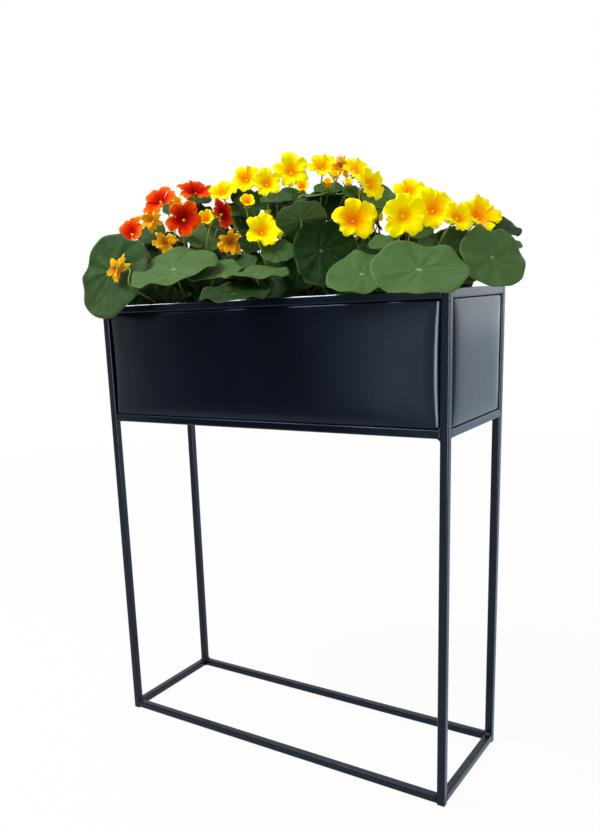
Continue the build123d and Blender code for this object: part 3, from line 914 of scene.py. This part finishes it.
def leaf_blade(sheets, head, dice, tone, net=LARGE_NET, cup=0.10, sag=0.10, ruffle=0.045):
    row_count, column_count = net
    own = dice.uniform(*tone)
    lean = dice.uniform(-0.5, 0.5)
    phase = [dice.uniform(0, math.tau) for k in range(4)]
    lobes = dice.choice((7, 8, 9))
    radius = head.radius
    hanging = head.axis.z < HANGING
    long, broad = HANGING_FORM if hanging else (1.0, 1.0)
    pleat = HANGING_PLEAT if hanging else PLEAT
    rows = []
    for i in range(row_count):
        out = 0.02 + 0.98 * (i / (row_count - 1)) ** 0.9
        row = []
        for j in range(column_count):
            turn = math.tau * j / column_count
            edge = 1 - LOBE_DEPTH * (0.5 - 0.5 * math.cos(lobes * turn + phase[0]))
            edge += OVAL * math.sin(2 * turn + phase[1])
            back = math.cos(turn - math.pi - lean)
            edge -= NOTCH * max(0.0, back - 0.95) / 0.05
            edge /= math.hypot(math.cos(turn) / long, math.sin(turn) / broad)
            if hanging:
                edge *= 1 + HANGING_LOBE * max(-0.5, math.cos(turn - HANGING_SIDE))
            rise = cup * out ** 1.5 - sag * out ** 2 * (0.5 + 0.5 * math.cos(2 * turn + 2 * lean + math.pi))
            waves = ruffle * out ** 3 * math.sin(5 * turn + phase[2])
            waves += 0.5 * ruffle * out ** 4 * math.sin(9 * turn + phase[3])
            rise += waves
            rise += pleat * out * (1.1 - out) * math.cos(9 * turn)
            place = (out * math.cos(turn), out * math.sin(turn), own)
            row.append((head.at(turn, radius * out * edge, HUB_GAP + radius * rise), place))
        rows.append(row)
    sheets.grid(rows, 0, closed=True)


# A leaf with another leaf's base close by and more than 15 mm above it gets painted shade
def shaded(head):
    above = [o for p in PLANTS for o in leaves[p] if o.base.z > head.base.z + 15 * MM]
    return any((o.base - head.base).xy.length < 0.6 * (o.radius + head.radius) for o in above)


def leaf_piece(plant, seed):
    dice = random.Random(seed)
    sheets = Sheets()
    for head in leaves[plant]:
        # Leaves under others and hanging leaves are painted darker, as painted shade
        tone = SHADED_TONE if shaded(head) else HANGING_SHADE_TONE if head.axis.z < HANGING else OPEN_TONE
        leaf_blade(sheets, head, dice, tone)
    node = plant + "_plant_leaves"
    return sheets.piece(plant + "_leaf_blades", LEAF_FINISHES, LARGE_BLADE, "leaf", [node], under=1)


blades = [leaf_piece(plant, 20 + k) for k, plant in enumerate(PLANTS)]
print("leaf blades", [len(b.data.polygons) for b in blades])

# %% [markdown]
# ## Stalks
# Stalks are soft and round, and bend in one easy line. A NURBS curve with the frame's corners as its
# control points bends that way by itself: it leaves the soil straight, rounds each corner, and meets
# the leaf or flower square. A point's radius thins the stalk towards the tip.

# %% Stalks
STALK = (1.7 * MM, 1.1 * MM)
YOUNG_STALK = (1.2 * MM, 0.8 * MM)
BUD_STALK = (1.3 * MM, 0.9 * MM)
ROOTED = Vector((0, 0, 6 * MM))
SWAY = 5 * MM


def stalk_route(bends, dice):
    middle = (bends[0] + bends[1]) / 2
    middle += Vector((dice.uniform(-1, 1), dice.uniform(-1, 1), 0.6)) * SWAY
    return [bends[0] - ROOTED, bends[0], middle, *bends[1:]]


def stalk_bundle(name, routes, thick, finish, nodes=()):
    base, tip = thick
    curve = bpy.data.curves.new(name, "CURVE")
    curve.dimensions = "3D"
    curve.bevel_depth = 1.0
    curve.bevel_resolution = 3
    curve.resolution_u = 7
    curve.use_fill_caps = True
    for route in routes:
        spline = curve.splines.new("NURBS")
        spline.points.add(len(route) - 1)
        for k, point in enumerate(route):
            spline.points[k].co = (*point, 1)
            spline.points[k].radius = base + (tip - base) * k / (len(route) - 1)
        spline.order_u = 3
        spline.use_endpoint_u = True
    place_piece(name, settled(put(name, curve)), [finish], nodes)


def stalk_piece(name, bend_lists, finish, seed, node):
    dice = random.Random(seed)
    routes = [stalk_route(bends, dice) for bends in bend_lists]
    stalk_bundle(name, routes, STALK, finish, [node])
    print(name, len(routes), "stalks")


for k, plant in enumerate(PLANTS):
    node = plant + "_plant_leaf_stalks"
    stalk_piece(plant + "_leaf_petioles", leaf_stalks[plant], leaf_stalk_finish, 40 + k, node)
    node = plant + "_plant_flower_stalks"
    stalk_piece(plant + "_flower_stems", flower_stalks[plant], flower_stalk_finish, 50 + k, node)
stalk_piece("left_withered_stems", withered_stalks, flower_stalk_finish, 60, "left_plant_withered_stalks")

# %% [markdown]
# ## Undergrowth
# Below the large leaves the plants are dense: younger leaves in their shade close the gaps to the
# soil, and small ones stand among the flower stalks. They are the same blade and stalk again at other
# sizes. Those that show are listed one by one, from the middle of the stand and above its rim in
# millimetres, with their heading, tilt and radius. The rest grow from the crowns by chance, and a try
# that lands on a large leaf or a flower is dropped.
# The larger young leaves, of 20 mm radius or more, are painted darker, as painted shade under the canopy.

# %% Leaves listed one by one
# The five low leaves at the left front, 10 to 35 mm above the rim, are dark sheets put where the inside of
# the trough lies in shade: painted shade
PLACED_LEAVES = {
    "left": [(-285, 15, 120, -80, 55, 26), (-235, 5, 95, -60, 50, 24), (-180, 25, 165, -50, 40, 18),
             (-140, 30, 100, -55, 55, 24), (-255, -60, 35, -80, 60, 26), (-215, -55, 20, -75, 50, 24),
             (-270, -55, 22, -80, 50, 24), (-110, 35, 125, -55, 60, 22),
             (-200, 45, 146, -50, 45, 24), (-168, 40, 130, -50, 55, 20), (-283, 0, 80, -75, 55, 26),
             (-261, -70, 12, -80, 65, 22), (-232, -72, 10, -85, 65, 20), (-205, 52, 172, -50, 40, 22),
             (-254, 38, 160, -60, 45, 18), (-290, 22, 100, -75, 60, 20), (-193, 22, 84, -60, 55, 16)],
    "middle": [(-90, 15, 160, -60, 45, 20), (-105, 5, 140, -40, 55, 15), (-60, 30, 150, -50, 50, 22),
               (-30, 20, 150, -60, 25, 26), (55, 10, 130, -55, 55, 30), (15, 30, 120, -50, 60, 30),
               (45, 40, 170, -50, 40, 16), (-75, 10, 90, -50, 50, 26), (75, 10, 80, -50, 55, 26),
               (-20, 48, 152, -55, 40, 26), (-35, 50, 132, -55, 50, 22), (-104, 50, 143, -50, 55, 20),
               (-3, 28, 84, -50, 55, 24), (-90, 48, 115, -50, 55, 24), (53, 38, 156, -45, 35, 18),
               (-56, 5, 52, -50, 55, 24), (-36, 54, 170, -55, 40, 18), (84, 25, 160, -50, 50, 12),
               (111, 27, 160, -45, 45, 14), (100, 18, 146, -50, 55, 13), (68, 28, 155, -55, 45, 12),
               (46, 22, 156, -50, 50, 10)],
    "right": [(95, 15, 155, -40, 45, 18), (90, 35, 135, -50, 55, 24), (215, 0, 80, -60, 50, 18),
              (235, 20, 88, -40, 50, 20), (270, -10, 62, -40, 55, 22), (310, 60, 78, -30, 40, 26),
              (292, -45, 20, -40, 45, 24), (138, 18, 70, -50, 55, 20), (181, 20, 64, -50, 55, 22),
              (208, 38, 66, -50, 50, 20)],
}
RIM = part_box("top_rail_front")[1].z
SOIL_TOP = soil_high.z


def crown_of(plant):
    feet = [bends[0] for bends in leaf_stalks[plant] + flower_stalks[plant]]
    return sum(feet, Vector()) / len(feet)


def toward(heading, tilt):
    lean = math.radians(tilt)
    turn = math.radians(heading)
    return Vector((math.sin(lean) * math.cos(turn), math.sin(lean) * math.sin(turn), math.cos(lean)))


def placed_head(spot, depth):
    x, y, z, heading, tilt, radius = spot
    return Head(Vector((x, y, z)) * MM + Vector((0, 0, RIM)), toward(heading, tilt), depth, radius * MM)


CROWNS = {plant: crown_of(plant) for plant in PLANTS}
print("crowns at", {plant: round(crown.x / MM) for plant, crown in CROWNS.items()}, "mm along the trough")

# %% Undergrowth
SHADE_LEAVES = 34
SHADE_ROOM = (0.32, 0.28, 0.8)
SMALL_LEAVES = 20
SMALL_ROOM = (0.55, 0.5, 0.72)
TRIES = 40
OPENING = (283 * MM, 93 * MM)
ABOVE_RIM = 2 * MM
YOUNG_BLADE = 0.5 * MM
YOUNG_RADIUS = 20 * MM
YOUNG_TONE = (0.25, 0.75)
# Young leaves of 20 mm radius or more take this dark range: painted shade under the large leaves
UNDER_SHADE_TONE = (0.0, 0.4)
NECK = 10 * MM


def free_of(head, others, room):
    return all((head.base - o.base).length > room * (head.radius + o.radius) for o in others)


def over_rim(head):
    # A leaf that reaches past the opening has to stay above the rails
    lowest = head.base.z - head.radius * math.sqrt(1 - head.axis.z ** 2)
    inside = all(abs(head.base[k]) + head.radius < OPENING[k] for k in (0, 1))
    return inside or lowest > RIM + ABOVE_RIM


def undergrowth(plant, seed):
    dice = random.Random(seed)
    crown = CROWNS[plant]
    large = [h for p in PLANTS for h in leaves[p]]
    blossoms = [h for p in PLANTS for h in flowers[p]] + withered
    placed = [placed_head(spot, 4 * MM) for spot in PLACED_LEAVES[plant]]
    grown = [head for head in placed if free_of(head, large, 0.2) and free_of(head, blossoms, 0.4)]
    print(plant, len(grown), "of", len(placed), "placed leaves kept")

    def shade_leaf():
        x = crown.x + dice.uniform(-110, 105) * MM
        place = (x, dice.uniform(-50, 75) * MM, RIM + dice.uniform(0, 52) * MM)
        way = toward(dice.uniform(-110, 10), dice.uniform(25, 75))
        return Head(place, way, 4 * MM, dice.uniform(24, 38) * MM)

    def small_leaf():
        bends = dice.choice(flower_stalks[plant])
        place = bends[0].lerp(bends[1], dice.uniform(0.35, 0.92))
        place += Vector((dice.uniform(-22, 22), dice.uniform(-22, 22), dice.uniform(0, 14))) * MM
        way = toward(dice.uniform(-150, 40), dice.uniform(15, 60))
        return Head(place, way, 3 * MM, dice.uniform(9, 19) * MM)

    def has_room(head, room):
        return all(free_of(head, others, share) for others, share in zip((grown, large, blossoms), room))

    def grow(count, sprout, fits):
        for k in range(count):
            for trial in range(TRIES):
                head = sprout()
                if fits(head):
                    grown.append(head)
                    break

    grow(SHADE_LEAVES, shade_leaf, lambda head: over_rim(head) and has_room(head, SHADE_ROOM))
    grow(SMALL_LEAVES, small_leaf, lambda head: has_room(head, SMALL_ROOM))
    sheets = Sheets()
    routes = []
    for head in grown:
        # Small young leaves keep a mid tone; the larger ones get painted shade
        tone = YOUNG_TONE if head.radius < YOUNG_RADIUS else UNDER_SHADE_TONE
        leaf_blade(sheets, head, dice, tone, YOUNG_NET, sag=0.14)
        x, y = (crown[k] + 0.25 * (head.base[k] - crown[k]) for k in (0, 1))
        foot = Vector((x, y, SOIL_TOP))
        routes.append(stalk_route([foot, head.base - head.axis * NECK, head.base], dice))
    sheets.piece(plant + "_young_leaves", LEAF_FINISHES, YOUNG_BLADE, "leaf", under=1)
    stalk_bundle(plant + "_young_petioles", routes, YOUNG_STALK, leaf_stalk_finish)
    return grown


for k, plant in enumerate(PLANTS):
    print(plant, len(undergrowth(plant, 90 + k)), "young leaves")

# %% [markdown]
# ## Flowers
# A nasturtium has five petals, each with a narrow claw that widens into a frilled blade, set in a
# ring of pointed sepals with a thin spur behind. One petal is a grid from throat to edge, bent out
# like the bell of a trumpet. Five copies, each a little different, make the flower. The red plant's
# flowers darken from left to right, as they do with age, and a few opening buds are listed.

# %% Petals and sepals
PETAL_ROWS = 12
PETAL_COLUMNS = 15
PETAL = 0.35 * MM
CALYX = 9 * MM
THROAT = 2.4 * MM
SCALLOP = 0.028
ROUND = np.linspace(0, math.tau, 9)[:-1]


def petal(sheets, head, dice, turn, width, claw, flare, frill, own):
    radius = head.radius
    phase = dice.uniform(0, math.tau)
    curl = dice.uniform(0.0, 0.16)
    stretch = dice.uniform(0.84, 1.07)
    flare += dice.uniform(-0.11, 0.11)
    rows = []
    for i in range(PETAL_ROWS):
        u = i / (PETAL_ROWS - 1)
        row = []
        half = width * (claw + (1 - claw) * math.sin(min(1.0, u / 0.7) * math.pi / 2) ** 2)
        half *= 1 - 0.12 * max(0, u - 0.7) / 0.3
        for j in range(PETAL_COLUMNS):
            v = 2 * j / (PETAL_COLUMNS - 1) - 1
            reach = THROAT + (radius * stretch - THROAT) * u * (1 - 0.32 * abs(v) ** 2.6 * u ** 2)
            ragged = math.cos(2.4 * math.pi * v + phase) + 0.4 * math.cos(5.2 * math.pi * v + 2 * phase)
            reach *= 1 - SCALLOP * u ** 4 * ragged
            rise = CALYX + radius * flare * (1 - (1 - u) ** 2.1) - radius * curl * max(0, u - 0.6) ** 2 * 6
            wave = abs(v) ** 1.5 * math.sin(2.5 * math.pi * v + phase) + 0.5 * v * v + 0.5 * v
            rise += radius * frill * u ** 2 * wave
            rise += 0.35 * radius * frill * u ** 5 * ragged
            row.append((head.at(turn + half * v, reach, rise), (u, v, own)))
        rows.append(row)
    sheets.grid(rows)


def calyx(sheets, head):
    # Five pointed sepals and a thin curved spur behind the petals
    for k in range(5):
        turn = math.tau * (k + 0.5) / 5
        rows = []
        for i in range(6):
            u = i / 5
            half = 0.55 * (1 - u) ** 0.7 + 0.02
            reach = (2.6 + 7.0 * u ** 1.6) * MM
            rise = (1.5 + 11 * u ** 0.8) * MM
            rows.append([(head.at(turn + half * v * (1 - 0.4 * u), reach, rise), (u, v, 0.5))
                         for v in (-1, -0.5, 0, 0.5, 1)])
        sheets.grid(rows, 1)
    rows = []
    for i in range(7):
        u = i / 6
        thick = (2.0 - 1.5 * u) * MM
        middle = head.base + head.axis * (6 - 13 * u) * MM - head.down * (2.0 + 6 * u + 5 * u * u) * MM
        rows.append([(middle + (head.aside * math.cos(t) + head.axis * math.sin(t)) * thick, (u, 0, 0.5))
                     for t in ROUND])
    sheets.grid(rows, 1, closed=True)


def flower(sheets, head, dice, own, width=0.72, claw=0.96, flare=0.40, frill=0.10):
    start = dice.uniform(0, math.tau)
    for k in range(5):
        wide = width * dice.uniform(0.92, 1.05)
        petal(sheets, head, dice, start + math.tau * k / 5, wide, claw, flare + 0.02 * (k % 2), frill, own)
    calyx(sheets, head)
    rows = []
    for u in (1, 2 / 3, 1 / 3, 0):
        rise = CALYX + (5.5 * u - 0.8) * MM
        rows.append([(head.at(t, 3.4 * MM * (1 - 0.9 * u), rise), (u, 0, own)) for t in ROUND])
    sheets.grid(rows, 2, closed=True)


print("a petal is", PETAL_ROWS, "x", PETAL_COLUMNS, "points")

# %% Buds and flowers
PLACED_BUDS = {
    "left": [(-163, 10, 124, -50, 70, 15), (-215, 10, 155, -70, 60, 9)],
    "middle": [(-66, -12, 138, -50, 60, 12), (21, 12, 152, -60, 60, 10), (66, 10, 150, -60, 40, 8),
               (94, 15, 150, -50, 50, 6), (72, 22, 164, -60, 50, 6), (116, 18, 152, -40, 55, 6)],
    "right": [(118, -20, 64, 150, 25, 9), (165, 15, 92, -60, 55, 9)],
}
BUD_NECK = 12 * MM


def bud_stems(name, plant, heads, dice):
    foot = Vector((*CROWNS[plant].xy, SOIL_TOP))
    routes = [stalk_route([foot, head.base - head.axis * BUD_NECK, head.base], dice) for head in heads]
    stalk_bundle(name, routes, BUD_STALK, flower_stalk_finish)


def opening_buds(plant, seed):
    dice = random.Random(seed)
    sheets = Sheets()
    heads = [placed_head(spot, CALYX) for spot in PLACED_BUDS[plant]]
    for head in heads:
        flower(sheets, head, dice, dice.random(), flare=1.1, frill=0.05)
    sheets.piece(plant + "_opening_buds", [yellow_petal, sepal_finish, yellow_petal], PETAL, "yellow_petal")
    bud_stems(plant + "_bud_stems", plant, heads, dice)
    return len(heads)


def flower_piece(plant, seed, finish, slot, darkens=False, **form):
    # Where a plant's flowers darken, the one on the left is the freshest
    dice = random.Random(seed)
    sheets = Sheets()
    first, last = (pick(head.base.x for head in flowers[plant]) for pick in (min, max))
    for head in flowers[plant]:
        own = dice.random()
        if darkens:
            own = (last - head.base.x) / (last - first)
        flower(sheets, head, dice, own, **form)
    node = plant + "_plant_flowers"
    return sheets.piece(plant + "_blooms", [finish, sepal_finish, yellow_petal], PETAL, slot, [node])


print("opening buds", [opening_buds(plant, 75 + k) for k, plant in enumerate(PLANTS)])
blooms = [
    flower_piece("left", 71, red_petal, "red_petal", darkens=True,
                 width=0.67, claw=1.05, flare=0.34, frill=0.11),
    flower_piece("middle", 72, yellow_petal, "yellow_petal", frill=0.15),
    flower_piece("right", 73, yellow_petal, "yellow_petal", frill=0.15),
]
print("blooms", [len(b.data.polygons) for b in blooms])

# %% [markdown]
# ## Withered flowers
# A nasturtium flower that is over closes, twists and crumples to a papery tassel. Petals made as
# above would look too fresh, so each is wrapped part of the way round the flower's own axis, turned
# as it goes up, and shaken by noise. The tassels lean to the front, and the middle plant has one more,
# at a listed place.

# %% Withered flowers
FRONT = Vector((0.75, -1.28, 0.15))
PLACED_WITHERED = [(75, 30, 178, -50, 60, 9)]
WITHERED_PETALS = 11
WITHERED_ROWS = 12
WITHERED_COLUMNS = 7
NEXT_PETAL = math.tau * 0.382
SHAKE = 3.4 * MM


def withered_flower(sheets, head, dice):
    own = dice.random()
    middle = head.at(0, 0, head.depth / 2)
    way = (head.axis + FRONT).normalized()
    star = Head(middle - way * head.depth / 2, way, head.depth, head.radius)
    for k in range(WITHERED_PETALS):
        turn = NEXT_PETAL * k + dice.uniform(-0.25, 0.25)
        twist = dice.uniform(-0.6, 0.6)
        long = dice.uniform(-0.25, 1.0)
        splay = dice.uniform(1.5, 2.2) * (1.0 - 0.45 * max(0.0, long - 0.3))
        rows = []
        for i in range(WITHERED_ROWS):
            u = i / (WITHERED_ROWS - 1)
            row = []
            for j in range(WITHERED_COLUMNS):
                v = 2 * j / (WITHERED_COLUMNS - 1) - 1
                reach = head.radius * (0.16 + splay * u ** 1.3)
                half = (0.75 * (1 - u ** 2.5) + 0.14) * head.radius * 0.85 / reach
                rise = head.depth * (0.25 + 0.65 * u * long - 0.10 * splay * u * u)
                point = star.at(turn + half * v + twist * u, reach, rise)
                shake = Vector(noise.noise_vector(point * 230 + Vector((k, 0, 0)))) * SHAKE * u
                row.append((point + shake, (u, v, own)))
            rows.append(row)
        sheets.grid(rows)
    calyx(sheets, head)


def withered_piece(plant, seed, heads, nodes=()):
    dice = random.Random(seed)
    sheets = Sheets()
    for head in heads:
        withered_flower(sheets, head, dice)
    name = plant + "_withered_blooms"
    made = sheets.piece(name, [withered_petal, sepal_finish], PETAL, "withered_petal", nodes)
    print(name, len(heads), "flowers,", len(made.data.polygons), "faces")


withered_piece("left", 81, withered, ["left_plant_withered_flowers"])
late = [placed_head(spot, 3 * spot[-1] * MM) for spot in PLACED_WITHERED]
withered_piece("middle", 82, late)
bud_stems("middle_withered_stems", "middle", late, random.Random(83))

# %% [markdown]
# ## End
# Every piece of the scene is built in the cells above.

# %% Finish
print("scene built")
